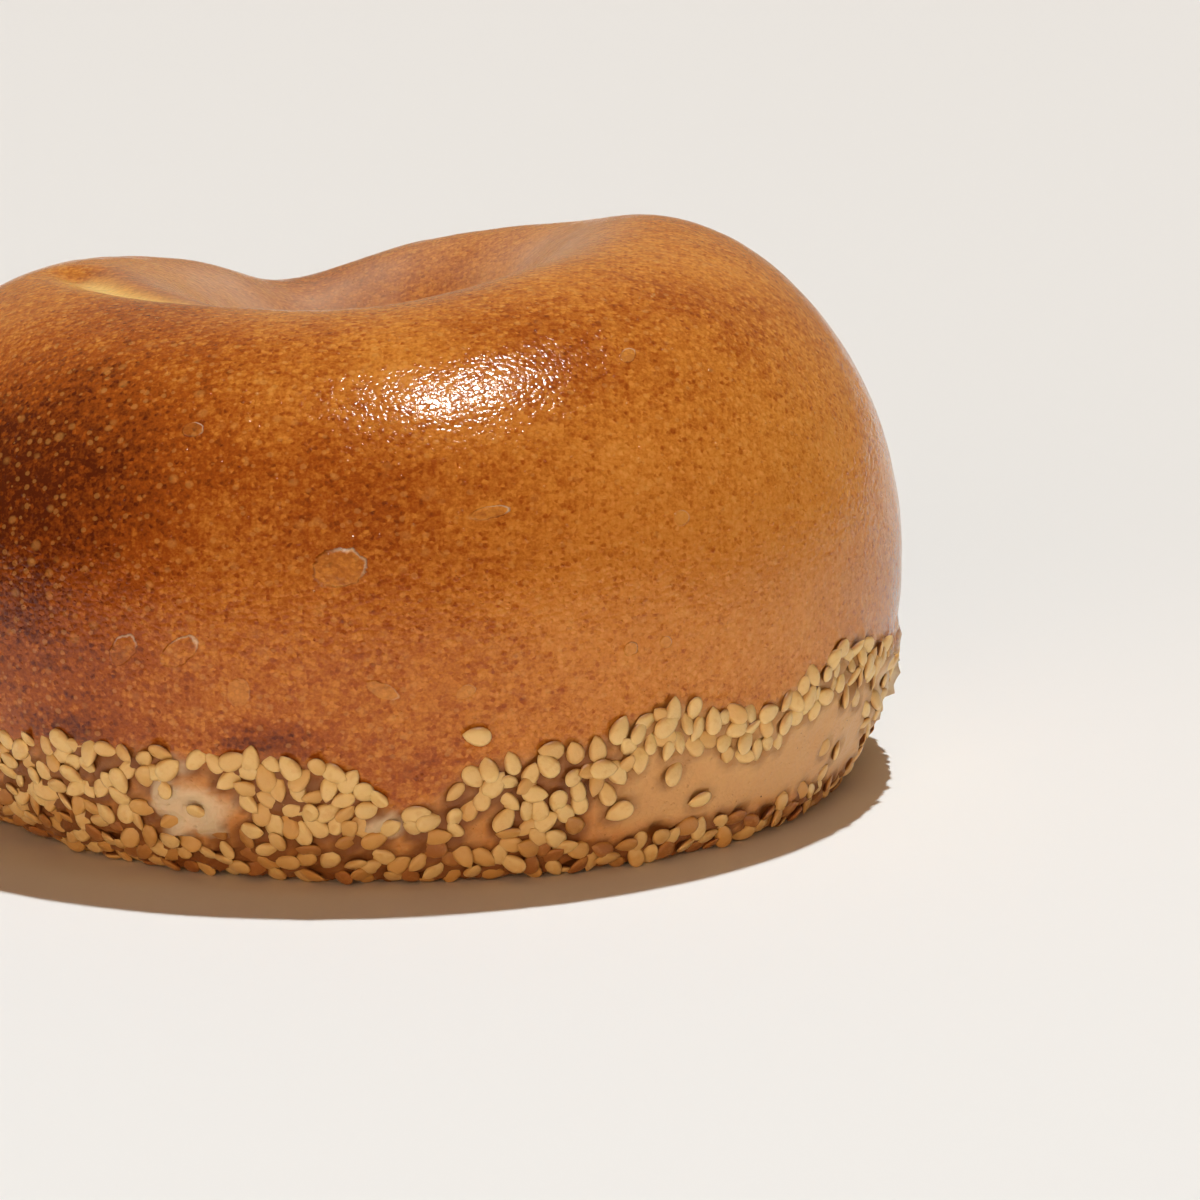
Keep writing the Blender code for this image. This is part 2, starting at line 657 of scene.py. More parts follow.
@dataclass(frozen=True)
class SeedForm:
    """The shape of one seed: a flattened drop with a rounded tip, in millimetres."""

    length: float = 3.1
    width: float = 2.1
    thickness: float = 0.95
    taper: float = 0.25
    sides: int = 14
    rings: int = 10

    def mould(self) -> tuple[Array, list[tuple[int, ...]], Array]:
        """Makes one seed about its own centre, with its tip at +X and its thickness along Z.

        Returns:
            Its points, its faces, and for each point its place along the seed (-1 to 1), out to the edge
            (0 to 1) and through its thickness (-1 to 1).
        """
        points = [(-1.0, 0.0, 0.0)]
        for ring in range(1, self.rings):
            turn = math.pi * ring / self.rings
            for side in range(self.sides):
                round_it = 2 * math.pi * side / self.sides
                reach = math.sin(turn)
                points.append((-math.cos(turn), reach * math.cos(round_it), reach * math.sin(round_it)))
        points.append((1.0, 0.0, 0.0))
        raw = np.array(points)
        faces: list[tuple[int, ...]] = []
        last = len(points) - 1
        for side in range(self.sides):
            after = (side + 1) % self.sides
            faces.append((0, 1 + after, 1 + side))
            for ring in range(self.rings - 2):
                here = 1 + ring * self.sides
                there = here + self.sides
                faces.append((here + side, here + after, there + after, there + side))
            end = 1 + (self.rings - 2) * self.sides
            faces.append((end + side, end + after, last))
        x = raw[:, 0]
        narrowing = 1 - self.taper * x - 0.1 * x**2 - 0.8 * np.clip(x - 0.5, 0, 1) ** 1.5
        edge = np.abs(raw[:, 1])
        shape = np.stack(
            [
                x * self.length / 2,
                raw[:, 1] * self.width / 2 * narrowing,
                raw[:, 2] * self.thickness / 2 * narrowing * (1 - 0.18 * np.exp(-((edge / 0.45) ** 2))),
            ],
            axis=-1,
        )
        return shape, faces, np.stack([x, edge, raw[:, 2]], axis=-1)


@dataclass(frozen=True)
class Gap:
    """A stretch of the belt where fewer seeds stuck, above one height and some way below the upper edge."""

    start: float
    end: float
    above: float
    below_edge: float
    share: float
    rest: float = 1.0


@dataclass
class SeedBelt:
    """All the seeds: the belt round the lower side and the ones pressed into the base."""

    ring: Ring
    nodes: dict[str, bpy.types.Object]
    form: SeedForm = field(default_factory=SeedForm)
    sectors: int = 12
    belt_height: float = 14.0
    belt_swells: tuple[Swell, ...] = (
        Swell(-84, 6, -4.5),
        Swell(-56, 7, 3.4),
        Swell(-28, 12, 5.5),
        Swell(60, 25, 2.0),
        Swell(140, 30, -2.0),
    )
    gaps: tuple[Gap, ...] = (
        Gap(-66, -22, 3.6, 5.0, 0.02),
        Gap(-112, -100, 4.5, 1.5, 0.10),
        Gap(-87, -74, 3.5, 0.0, 0.14),
        Gap(-22, 16, 4.0, 3.5, 0.12, 0.6),
    )
    tries: int = 12000
    close: float = 1.4
    base_tries: int = 1500
    random_seed: int = 11
    seeds: list[Seed] = field(default_factory=list)
    sunk: float = 0.5
    most_tilt: float = 0.95
    most_roll: float = 0.22
    tilted_lift: float = 0.35
    _feet: Array = field(default_factory=lambda: np.full((MOST_SEEDS, 3), FAR_AWAY))

    def top_edge(self, azimuth: Array) -> Array:
        """The height of the belt's upper edge, in millimetres."""
        return self.belt_height + swelling(np.asarray(azimuth, float), self.belt_swells)

    def chance(self, azimuth: float, height: float) -> float:
        """How likely a seed is to stick at this place.

        Args:
            azimuth: in degrees.
            height: above the base, in millimetres.

        Returns:
            A chance, 0 to 1.
        """
        top = float(self.top_edge(azimuth))
        if height > top:
            return 0.0
        for gap in self.gaps:
            if gap.start < azimuth < gap.end:
                return gap.share if gap.above < height < top - gap.below_edge else gap.rest
        if 16 <= azimuth < 160:
            patch = ripple(np.array([[azimuth / 9, height / 5, 0.3]]), 1.0, 2)[0]
            return 0.08 if patch > 0.12 and height < top - 3 else 0.9
        return 1.0

    def read_cad_seeds(self) -> None:
        """Takes over the place and the direction of every single seed of the CAD model."""
        chance = np.random.default_rng(self.random_seed)
        for name in sorted(self.nodes):
            if not name.startswith(LOOSE_SEED):
                continue
            mesh = self.nodes[name].data
            points = np.array([vertex.co for vertex in mesh.vertices]) / MM
            centre = (points.min(0) + points.max(0)) / 2
            _, _, directions = np.linalg.svd(points - points.mean(0), full_matrices=False)
            tip, out = directions[0], directions[2]
            reach = (points - centre) @ tip
            side = np.abs((points - centre) @ directions[1])
            if side[reach > 0].max() > side[reach < 0].max():
                tip = -tip
            if out @ (centre * (1, 1, 0)) < 0:
                out = -out
            azimuth = self.ring.azimuth_of(centre[0], centre[1])
            tone = float(chance.uniform(0, 0.6))
            centre = centre - out * self.sunk
            self._feet[len(self.seeds)] = centre
            size = float(chance.uniform(0.94, 1.06))
            self.seeds.append(Seed(centre, tip, out, size, tone, Zone.BELT, azimuth))

    def scatter(self) -> None:
        """Presses the rest of the seeds into the belt and the base, each clear of the ones before."""
        chance = np.random.default_rng(self.random_seed + 1)
        for _ in range(self.tries):
            azimuth = float(chance.uniform(-180, 180))
            height = float(chance.uniform(0.2, 20.0))
            luck, turn, lean = chance.uniform(0, 1, 3)
            if luck > self.chance(azimuth, height):
                continue
            station = float(self.ring.station_at(azimuth, height))
            self._lay(azimuth, station, turn * FULL_TURN, lean, chance, Zone.BELT)
        for _ in range(self.base_tries):
            azimuth = float(chance.uniform(-180, 180))
            station = self.ring.mouth_station + 4 + 64 * math.sqrt(float(chance.uniform(0, 1)))
            self._lay(azimuth, station, float(chance.uniform(0, FULL_TURN)), 0.5, chance, Zone.BASE)

    def _lay(
        self,
        azimuth: float,
        station: float,
        turn: float,
        lean: float,
        chance: np.random.Generator,
        zone: Zone,
    ) -> None:
        """Lays one seed if there is room.

        Args:
            azimuth: in degrees.
            station: in degrees.
            turn: how far its tip is turned from the ring's direction, in degrees.
            lean: how it is tilted, 0 to 1, where 0.5 is flat.
            chance: the source of random numbers.
            zone: belt or base.
        """
        foot = self.ring.point(azimuth, station)
        room = self.close if zone is Zone.BELT else self.close * 1.5
        taken = self._feet[: len(self.seeds)]
        if (np.linalg.norm(taken - foot, axis=1) < room).any():
            return
        along, up, out = self.ring.axes(azimuth, station)
        tip = along * math.cos(math.radians(turn)) + up * math.sin(math.radians(turn))
        size = float(chance.uniform(0.78, 1.04))
        if zone is Zone.BASE:
            centre = np.array([foot[0], foot[1], self.form.thickness * size / 2 * 1.1])
        else:
            tilt = (lean - 0.5) * self.most_tilt
            tip = unit(tip + out * tilt)
            roll = float(chance.normal(0, self.most_roll))
            out = unit(out - tip * float(out @ tip) + np.cross(out, tip) * roll)
            centre = foot + out * (self.tilted_lift * abs(tilt) + float(chance.uniform(-0.12, 0.3)))
            halves = np.array([self.form.length, self.form.width, self.form.thickness]) / 2
            reach = np.linalg.norm(halves * (tip[2], np.cross(out, tip)[2], out[2]))
            centre[2] = max(centre[2], float(reach) * size)
        # Seeds low on the belt get a darker tone: painted shade near the table.
        tone = float(chance.uniform(0, 0.75)) + 0.4 * float(smooth(foot[2], 9, 3))
        self._feet[len(self.seeds)] = foot
        self.seeds.append(Seed(centre, tip, out, size, tone, zone, azimuth))

    def _sector(self, azimuth: float) -> int:
        """The number of the sector that an azimuth falls in, from 1."""
        return int((azimuth % FULL_TURN) // (FULL_TURN / self.sectors)) + 1

    def build(self) -> list[bpy.types.Object]:
        """Joins the seeds into one piece for each sector of the belt, and one for each quarter of the base.

        Returns:
            The pieces.
        """
        groups: dict[str, list[Seed]] = {}
        for one in self.seeds:
            number = self._sector(one.azimuth)
            name = BELT_PIECE.format(number)
            if one.zone is Zone.BASE:
                name = BASE_PIECE.format((number - 1) // 3 + 1)
            groups.setdefault(name, []).append(one)
        pieces = [self._join(name, members) for name, members in sorted(groups.items())]
        for name in self.nodes:
            if name.startswith(LOOSE_SEED):
                low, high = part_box(name)
                middle = (low + high) / 2 / MM
                number = self._sector(self.ring.azimuth_of(middle.x, middle.y))
                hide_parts(name)
        return pieces

    def _join(self, name: str, members: list[Seed]) -> bpy.types.Object:
        """Makes one piece of several seeds.

        Args:
            name: the piece's name.
            members: its seeds.

        Returns:
            The piece, with the numbers that its finish reads stored on its points.
        """
        shape, faces, places = self.form.mould()
        points, sides, tones = [], [], []
        for index, one in enumerate(members):
            frame = np.stack([one.tip, np.cross(one.out, one.tip), one.out])
            points.append(shape * one.size @ frame + one.centre)
            sides += [tuple(corner + index * len(shape) for corner in face) for face in faces]
            tones.append(np.full(len(shape), one.tone))
        mesh = bpy.data.meshes.new(name)
        mesh.from_pydata((np.concatenate(points) * MM).tolist(), [], sides)
        mesh.shade_smooth()
        store(mesh, "tone", np.concatenate(tones))
        store(mesh, "lengthwise", np.tile(places[:, 0], len(members)))
        store(mesh, "edge", np.tile(places[:, 1], len(members)))
        store(mesh, "through", np.tile(places[:, 2], len(members)))
        piece = bpy.data.objects.new(name, mesh)
        bpy.context.scene.collection.objects.link(piece)
        return piece


def store(mesh: bpy.types.Mesh, name: str, values: Array) -> None:
    """Stores one number for each point of a mesh, for a finish to read.

    Args:
        mesh: the mesh.
        name: the attribute's name.
        values: one number for each point.
    """
    mesh.attributes.new(name, "FLOAT", "POINT").data.foreach_set("value", values.astype(np.float32))


# ----------------------------------------------------------------------------------------------------
# Bread
# ----------------------------------------------------------------------------------------------------


@dataclass(frozen=True)
class Blister:
    """A bubble or a lifted scale that the oven raised in the glaze of the outer side, in millimetres and
    degrees, with a painted highlight on its upper rim.
    """

    azimuth: float
    height: float
    length: float
    width: float
    rise: float
    turn: float = 0.0
    fill: float = 0.3
    # How strongly the painted highlight shows on the upper rim.
    edge: float = 0.5
    depth: float = 2.5

    def frame(self, ring: Ring) -> tuple[Array, Array]:
        """Finds where it lies.

        Args:
            ring: the ring that it lies on.

        Returns:
            Its middle in millimetres, and its long, short and outward directions, one row each.
        """
        place = float(ring.station_at(self.azimuth, self.height))
        along, up, out = (axis.reshape(3) for axis in ring.axes(self.azimuth, place))
        turn = math.radians(self.turn)
        long = along * math.cos(turn) + up * math.sin(turn)
        return ring.point(self.azimuth, place), np.stack([long, np.cross(out, long), out])

    def far(self, ring: Ring, points: Array) -> Array:
        """How far points are from its middle: 0 there, 1 on its outline."""
        centre, directions = self.frame(ring)
        reach = np.array([self.length / 2, self.width / 2, self.depth])
        return np.linalg.norm((points - centre) @ directions.T / reach, axis=-1)


# Which way the side of a blister's rim that gets the painted highlight faces, in the blister's own
# coordinates.
HIGHLIT_RIM_SIDE = (0.85, 0.5, 0.0)

# The azimuth and the height of each small pimple in the glaze, and their shape.
PIMPLE_LENGTH, PIMPLE_WIDTH, PIMPLE_RISE = 2.1, 1.9, 0.16
PIMPLES = (
    (-55.5, 53.8),
    (-55.5, 52.3),
    (-56.0, 49.7),
    (-64.5, 46.2),
    (-62.0, 45.9),
    (-45.0, 56.2),
    (-102.0, 44.6),
    (-89.0, 48.9),
    (-109.5, 40.2),
)
BLISTERS = (
    Blister(-90, 33.1, 5.8, 4.0, 0.26, 8, 0.26, 0.85),
    Blister(-112, 24.2, 3.8, 2.6, 0.14, 45, 0.10, 0.8),
    Blister(-106, 24.4, 4.8, 2.6, 0.15, 35, 0.10, 0.8),
    Blister(-107, 45.4, 2.3, 1.8, 0.22, 0, 0.14, 0.7),
    Blister(-75, 38.0, 4.4, 1.3, 0.26, 6, 0.25, 0.9),
    Blister(-61, 23.6, 1.7, 1.5, 0.13, 0, 0.3, 0.5),
    Blister(-57, 23.9, 1.5, 1.3, 0.12, 0, 0.3, 0.5),
    Blister(-54, 51.5, 2.6, 1.6, 0.16, 30, 0.3, 0.5),
    Blister(-86, 21, 3.6, 1.6, 0.08, -28, 0.4, 0.3),
    Blister(-100, 20.6, 2.6, 3.0, 0.05, 0, 0.32, 0.1),
    Blister(-78, 20.6, 2.2, 1.4, 0.06, 20, 0.35, 0.2),
    Blister(-54, 36, 2.0, 1.7, 0.08, 0, 0.4, 0.3),
)


@dataclass
class Bread:
    """The ring of bread with its crust in relief."""

    ring: Ring
    belt: SeedBelt
    around: int = 464
    rows: tuple[tuple[float, float, int], ...] = (
        (0, 90, 72),
        (90, 180, 50),
        (180, 230, 22),
        (230, 300, 24),
        (300, 360, 44),
    )
    browned: tuple[Spot, ...] = (
        Spot(-124, 20, 41, 13, 0.50),
        Spot(-107, 10, 34, 12, -0.06),
        Spot(-100, 40, 50, 6, -0.10),
        Spot(-88, 18, 40, 6, 0.12),
        Spot(-95, 30, 22, 12, 0.04),
        Spot(-46, 28, 32, 22, -0.19),
        Spot(-56, 32, 53, 9, 0.13),
        Spot(-42, 26, 22, 10, -0.08),
        Spot(-126, 14, 24, 12, 0.16),
        Spot(100, 50, 44, 18, 0.10),
        # The last three spots are painted shade in the crease just above the seed belt.
        Spot(-97, 6, 15.5, 2.2, 0.30),
        Spot(-119, 6, 15.0, 2.0, 0.25),
        Spot(-84, 5, 12.5, 2.0, 0.12),
    )
    spotted: tuple[Spot, ...] = (Spot(-116, 34, 38, 16, 0.9),)
    starchy: tuple[Spot, ...] = (
        Spot(-106, 5, 8.5, 4.2),
        Spot(-86, 2.5, 7, 1.6, 0.8),
        Spot(-8, 12, 12, 6, 0.7),
    )
    doughy: tuple[Spot, ...] = (Spot(-10, 17, 12, 8),)
    mean_browning: float = 0.44
    undulation: float = 0.3
    unevenness: float = 0.05
    starch_rise: float = 0.5
    under_rise: float = 0.22
    doughy_rise: float = 0.55
    fold_depth: float = 1.2
    fold_width: float = 5.0
    crumb_width: float = 4.6
    nest_depth: float = 0.34
    lip_rise: float = 0.16
    nest_limits: tuple[float, float] = (-0.5, 0.35)
    nest_reach: float = 3.6
    nested_below: float = 26.0
    base_unevenness: tuple[float, float] = (0.45, 0.25)

    def build(self) -> bpy.types.Object:
        """Rolls out the ring, raises its relief and stores what its finish reads.

        Returns:
            The piece.
        """
        stretches = [np.linspace(low, high, count, endpoint=False) for low, high, count in self.rows]
        stations = np.concatenate(stretches)
        azimuth = np.repeat(np.arange(self.around) * FULL_TURN / self.around, len(stations))
        azimuth = turn_from(azimuth, 0.0)
        station = np.tile(stations, self.around)
        points = self.ring.point(azimuth, station)
        _, _, out = self.ring.axes(azimuth, station)
        fields = self._fields(azimuth, station, points)
        lift = self._relief(azimuth, station, points, fields)
        nest, crevice = self._nest(points)
        lift += nest
        # Painted shade beside the seeds, weaker on the bare patch.
        fields["crevice"] = crevice * (1 - 0.65 * fields["bare"])
        points = points + out * lift[:, None]
        base = (station >= self.ring.mouth_station) & (station <= self.ring.base_station)
        level, bumps = self.base_unevenness
        lowest = level + bumps * ripple(points * base[:, None], 4.0, 9, 1)
        points[:, 2] = np.maximum(points[:, 2], lowest)
        piece = self._weave(points, len(stations))
        for name, values in fields.items():
            store(piece.data, name, values)
        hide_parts(CRUST)
        return piece

    def _weave(self, points: Array, rows: int) -> bpy.types.Object:
        """Joins the points into one closed ring of faces, unrolled on a texture map of its own.

        Args:
            points: in millimetres, row by row round the section and then on along the ring.
            rows: how many points there are round the section.

        Returns:
            The piece.
        """
        here, row = np.meshgrid(np.arange(self.around), np.arange(rows), indexing="ij")
        corners = [(here, row), (here + 1, row), (here + 1, row + 1), (here, row + 1)]
        faces = np.stack([(i % self.around) * rows + j % rows for i, j in corners], axis=-1).reshape(-1, 4)
        unrolled = np.stack([np.stack([i / self.around, j / rows], axis=-1) for i, j in corners], axis=2)
        mesh = bpy.data.meshes.new("baked_crust")
        mesh.from_pydata((points * MM).tolist(), [], faces.tolist())
        mesh.uv_layers.new(name="OFBake").data.foreach_set("uv", unrolled.astype(np.float32).ravel())
        mesh.shade_smooth()
        piece = bpy.data.objects.new("baked_crust", mesh)
        bpy.context.scene.collection.objects.link(piece)
        return piece

    def _fields(self, azimuth: Array, station: Array, points: Array) -> dict[str, Array]:
        """Works out what changes over the crust.

        Args:
            azimuth: of every point, in degrees.
            station: of every point, in degrees.
            points: in millimetres.

        Returns:
            For each name, a number for every point, 0 to 1.
        """
        height = points[:, 2]
        low_side = (station > self.ring.mouth_station) | (station < 20)
        patchy = ripple(points, 6, 2)
        browning = self.mean_browning + 0.08 * ripple(points, 16, 1) + 0.04 * patchy
        # Browning, with painted shade added in the crease above the seed belt.
        browning += spotting(azimuth, height, self.browned)
        past_fold, folded = self._fold(azimuth, station)
        # A darker band just past the fold: painted shade on the side of the lobe that rises there.
        browning += folded * 0.14 * np.exp(-(((past_fold - 14) / self.fold_width) ** 2))
        crumb = folded * np.exp(-(((past_fold - 4) / self.crumb_width) ** 2))
        crumb *= smooth(azimuth, -174, -160) * smooth(azimuth, -124, -138)
        edge = self.belt.top_edge(azimuth) + 0.8 * patchy
        under = smooth(height, edge + 0.6, edge - 1.6) * low_side
        starch = spotting(azimuth, height, self.starchy) + 0.3 * ripple(points, 2.2, 3)
        starch = smooth(starch, 0.35, 0.75) * low_side
        bare = smooth(azimuth, -66, -60) * smooth(azimuth, 16, -4) * smooth(height, 3.5, 5.5)
        bare *= 0.85 + 0.15 * ripple(points, 3.0, 10)
        spotty = 0.25 + spotting(azimuth, height, self.spotted)
        # Painted sheen: the pale room reflected on the wall of the hole.
        inner = smooth(station, 84, 112) * smooth(station, 240, 200) * (0.75 + 0.25 * patchy)
        inner *= 1 - 0.6 * np.exp(-(((azimuth - 66) / 24) ** 2))
        return {
            "browning": np.clip(browning, 0, 1),
            "under": under,
            "starch": starch,
            "bare": bare * under,
            "inner": inner,
            "crumb": crumb,
            "spotty": np.clip(spotty, 0, 1),
        }

    @staticmethod
    def _fold(azimuth: Array, station: Array) -> tuple[Array, Array]:
        """Follows the fold in the dough along the crest, where the ring's two ends were pressed together.

        Args:
            azimuth: in degrees.
            station: in degrees.

        Returns:
            How far past the fold each point is, in degrees of station, and the fold's depth there, 0 to 1.
        """
        line = 82 + 0.27 * (azimuth + 165)
        return station - line, smooth(azimuth, -179, -170) * smooth(azimuth, -116, -130)

    def _relief(self, azimuth: Array, station: Array, points: Array, fields: dict[str, Array]) -> Array:
        """Raises undulations, blisters and the starchy patch, and presses in the fold.

        Args:
            azimuth: of every point, in degrees.
            station: of every point, in degrees.
            points: in millimetres.
            fields: what changes over the crust.

        Returns:
            How far each point moves outwards, in millimetres.
        """
        lift = self.undulation * ripple(points, 22, 4, 1) + self.unevenness * ripple(points, 3.2, 5, 1)
        lift += fields["starch"] * self.starch_rise * (1 + ripple(points, 1.7, 6))
        lift += (fields["under"] - fields["bare"]) * self.under_rise * ripple(points, 2.4, 7)
        doughy = spotting(azimuth, points[:, 2], self.doughy) * fields["under"]
        lift += doughy * self.doughy_rise * ripple(points, 3.6, 8)
        past_fold, folded = self._fold(azimuth, station)
        lift -= self.fold_depth * folded * np.exp(-(((past_fold - 5) / self.fold_width) ** 2))
        for one in BLISTERS:
            lift += 0.5 * one.rise * smooth(one.far(self.ring, points), 1.05, 0.5)
        for at, level in PIMPLES:
            pimple = Blister(at, level, PIMPLE_LENGTH, PIMPLE_WIDTH, PIMPLE_RISE)
            lift += pimple.rise * smooth(pimple.far(self.ring, points), 1.0, 0.0)
        return lift

    def _nest(self, points: Array) -> tuple[Array, Array]:
        """Sinks the crust under each seed and lets the dough stand up round it.

        Args:
            points: in millimetres.

        Returns:
            How far each point moves outwards, and how much painted shade it takes beside a seed, 0 to 1.
        """
        lift = np.zeros(len(points))
        crevice = np.zeros(len(points))
        low = np.flatnonzero(points[:, 2] < self.nested_below)
        for one in self.belt.seeds:
            away = points[low] - one.centre
            near = np.flatnonzero(np.abs(away).max(1) < self.nest_reach)
            rows = low[near]
            away = away[near]
            u = away @ one.tip / (self.belt.form.length * one.size / 2)
            v = away @ np.cross(one.out, one.tip) / (self.belt.form.width * one.size / 2)
            far = np.hypot(u, v)
            lift[rows] += self.lip_rise * np.exp(-(((far - 1.35) / 0.3) ** 2))
            lift[rows] -= self.nest_depth * smooth(far, 1.1, 0.6)
            crevice[rows] = np.maximum(crevice[rows], smooth(far, 1.75, 1.0))
        return np.clip(lift, *self.nest_limits), crevice


# ----------------------------------------------------------------------------------------------------
# Finishes
# ----------------------------------------------------------------------------------------------------


@dataclass(frozen=True)
class GlazedCrust:
    """Egg-washed crust, baked brown in the oven, with painted shade beside the seeds and in creases, a painted
    sheen in the hole and painted highlights on blister rims.
    """

    ring: Ring
    pale: Colour = (0.76, 0.335, 0.072)
    golden: Colour = (0.64, 0.238, 0.033)
    brown: Colour = (0.39, 0.092, 0.009)
    dark: Colour = (0.11, 0.020, 0.004)
    fleck: Colour = (0.74, 0.37, 0.09)
    # Painted highlight on the upper rim of a blister.
    flake: Colour = (0.95, 0.82, 0.62)
    # Painted sheen on the wall of the hole.
    bloom: Colour = (0.66, 0.45, 0.32)
    crumb: Colour = (0.92, 0.60, 0.19)
    underside: Colour = (0.66, 0.33, 0.11)
    smooth_patch: Colour = (0.76, 0.46, 0.18)
    # Painted shade in the crevices beside the seeds.
    scorch: Colour = (0.15, 0.042, 0.009)
    paste: Colour = (0.84, 0.69, 0.45)
    tint: Colour = (1.0, 0.97, 0.92)

    def mix(self) -> bpy.types.Material:
        """Builds the material."""
        recipe = Recipe("glazed_crust")
        under = recipe.field("under")
        starch = recipe.field("starch")
        large, large_luck = recipe.lumps(1.0)
        small, small_luck = recipe.lumps(0.58)
        fine = recipe.grain(0.3, 2.0, 0.6)
        mottle = recipe.grain(1.8, 3.0, 0.6)
        # The browning field also carries painted shade in the creases.
        browned = recipe.field("browning") + (mottle - 0.5) * 0.2 + (fine - 0.5) * 0.5
        browned = browned - large * (large_luck - 0.4) * 0.2 - small * (small_luck - 0.5) * 0.38
        stops = ((0.05, self.pale), (0.32, self.golden), (0.6, self.brown), (0.95, self.dark))
        colour = recipe.node("ShaderNodeValToRGB", {"stops": stops}, {"Fac": browned})
        beady = recipe.step(recipe.bubbles(1.1, 0.42, 0.5), 0.0, 0.6)
        blobby = recipe.step(recipe.bubbles(2.1, 0.40, 0.6), 0.0, 0.9) * recipe.field("spotty")
        spots = 1 - (1 - beady * 0.32) * (1 - blobby * 0.36)
        colour = recipe.blend(spots * (1 - under * 0.7), colour, self.fleck)
        doughy = recipe.blend(recipe.step(mottle, 0.35, 0.7) * 0.5, self.underside, self.golden)
        colour = recipe.blend(under * 0.85, colour, doughy)
        colour = recipe.blend(recipe.field("bare") * (0.6 + mottle * 0.4), colour, self.smooth_patch)
        # Dark round the seeds: painted shade in the crevices.
        colour = recipe.blend(recipe.field("crevice") * under * 0.8, colour, self.scorch)
        colour = recipe.blend(starch * 0.8, colour, self.paste)
        specks = recipe.step(recipe.bubbles(1.5, 0.12, 0.12), 0.0, 0.3) * under
        colour = recipe.blend(specks * 0.9, colour, self.dark)
        # Paler on the wall of the hole: painted sheen.
        colour = recipe.blend(recipe.field("inner") * 0.6, colour, self.bloom)
        colour = recipe.blend(recipe.field("crumb"), colour, self.crumb)
        colour, glaze = self._blister(recipe, colour)
        normal = recipe.relief(small, 0.026)
        normal = recipe.relief(large, 0.02, normal)
        normal = recipe.relief(recipe.bubbles(0.6, 0.4, 0.22), 0.055, normal)
        normal = recipe.relief(fine, 0.004, normal)
        normal = recipe.relief(glaze, 0.3, normal)
        rough = 0.115 + recipe.grain(5, 2.0) * 0.05 + under * 0.28 - starch * 0.15
        return recipe.dress(
            Base_Color=colour,
            Roughness=rough,
            Normal=normal,
            Specular_IOR_Level=0.35,
            Specular_Tint=self.tint,
            Subsurface_Weight=0.10,
            Subsurface_Radius=(1.0, 0.30, 0.10),
            Subsurface_Scale=1.5 * MM,
        )

    def _blister(self, recipe: Recipe, colour: Socket) -> tuple[Socket, Socket]:
        """Lays the blisters and scales over the crust, with a painted highlight on the upper rim of each.

        Args:
            recipe: the crust's recipe.
            colour: the crust without them.

        Returns:
            The crust with them, and how high they stand, 0 to 1.
        """
        wobble = (recipe.grain(1.1, 2.0) - 0.5) * 0.5
        height: Socket | float = 0.0
        for one in BLISTERS:
            centre, directions = one.frame(self.ring)
            local = recipe.patch(centre, directions, (one.length / 2, one.width / 2, one.depth))
            far = recipe.node("ShaderNodeVectorMath", {"operation": "LENGTH"}, {0: local}, "Value") + wobble
            along_rim = {0: local, 1: HIGHLIT_RIM_SIDE}
            upper = recipe.node("ShaderNodeVectorMath", {"operation": "DOT_PRODUCT"}, along_rim, "Value")
            inside = recipe.step(far, 1.0, 0.86)
            # The upper rim gets a painted highlight.
            rim = inside * recipe.step(far, 0.78, 0.94) * recipe.step(upper, 0.1, 0.7)
            colour = recipe.blend(inside * one.fill, colour, self.fleck)
            colour = recipe.blend(rim * one.edge, colour, self.flake)
            height = inside * (one.rise / 0.3) + height
        return colour, height


@dataclass(frozen=True)
class SeedSkin:
    """Toasted sesame: cream on the flat and browner at the tip, mottled with toasted patches."""

    cream: Colour = (0.86, 0.61, 0.25)
    toasted: Colour = (0.70, 0.39, 0.11)
    # The darkest colour, reached only low on the belt: painted shade.
    roasted: Colour = (0.40, 0.16, 0.04)
    tip: Colour = (0.52, 0.25, 0.06)
    # Painted shade under a seed.
    sooty: Colour = (0.16, 0.05, 0.014)

    def mix(self) -> bpy.types.Material:
        """Builds the material."""
        recipe = Recipe("seed_skin")
        stops = ((0.0, self.cream), (0.45, self.cream), (0.8, self.toasted), (1.0, self.roasted))
        colour = recipe.node("ShaderNodeValToRGB", {"stops": stops}, {"Fac": recipe.field("tone")})
        lengthwise = recipe.field("lengthwise")
        colour = recipe.blend(recipe.step(lengthwise, 0.72, 1.0) * 0.6, colour, self.tip)
        mottle = recipe.grain(0.8, 2.0)
        colour = recipe.blend(recipe.step(mottle, 0.5, 0.75) * 0.35, colour, self.toasted)
        # Browner round the rim: partly the seed's own edge, partly painted shade at its outline.
        rim = recipe.step(recipe.field("edge"), 0.6, 1.0)
        colour = recipe.blend(rim * 0.65, colour, self.tip)
        # Dark on the side that lies against the crust: painted shade.
        colour = recipe.blend(recipe.step(recipe.field("through"), 0.15, -0.35) * 0.9, colour, self.sooty)
        normal = recipe.relief(recipe.grain(0.35, 2.0), 0.04)
        return recipe.dress(
            Base_Color=colour,
            Roughness=0.42,
            Normal=normal,
            Subsurface_Weight=0.15,
            Subsurface_Radius=(1.0, 0.6, 0.3),
            Subsurface_Scale=0.8 * MM,
        )


@dataclass(frozen=True)
class PlainPaper:
    """The plain pale surface that the bagel stands on."""

    white: Colour = (0.832, 0.825, 0.820)
    shaded: Colour = (0.79, 0.778, 0.768)
    near: float = -0.10
    far: float = 0.16

    def mix(self) -> bpy.types.Material:
        """Builds the material."""
        recipe = Recipe("plain_paper")
        parts = recipe.node("ShaderNodeSeparateXYZ", None, {0: recipe.place()}, "Y")
        colour = recipe.blend(recipe.step(parts, self.near, self.far), self.white, self.shaded)
        return recipe.dress(Base_Color=colour, Roughness=0.8, Specular_IOR_Level=0.25)


# ----------------------------------------------------------------------------------------------------
# Studio
# ----------------------------------------------------------------------------------------------------


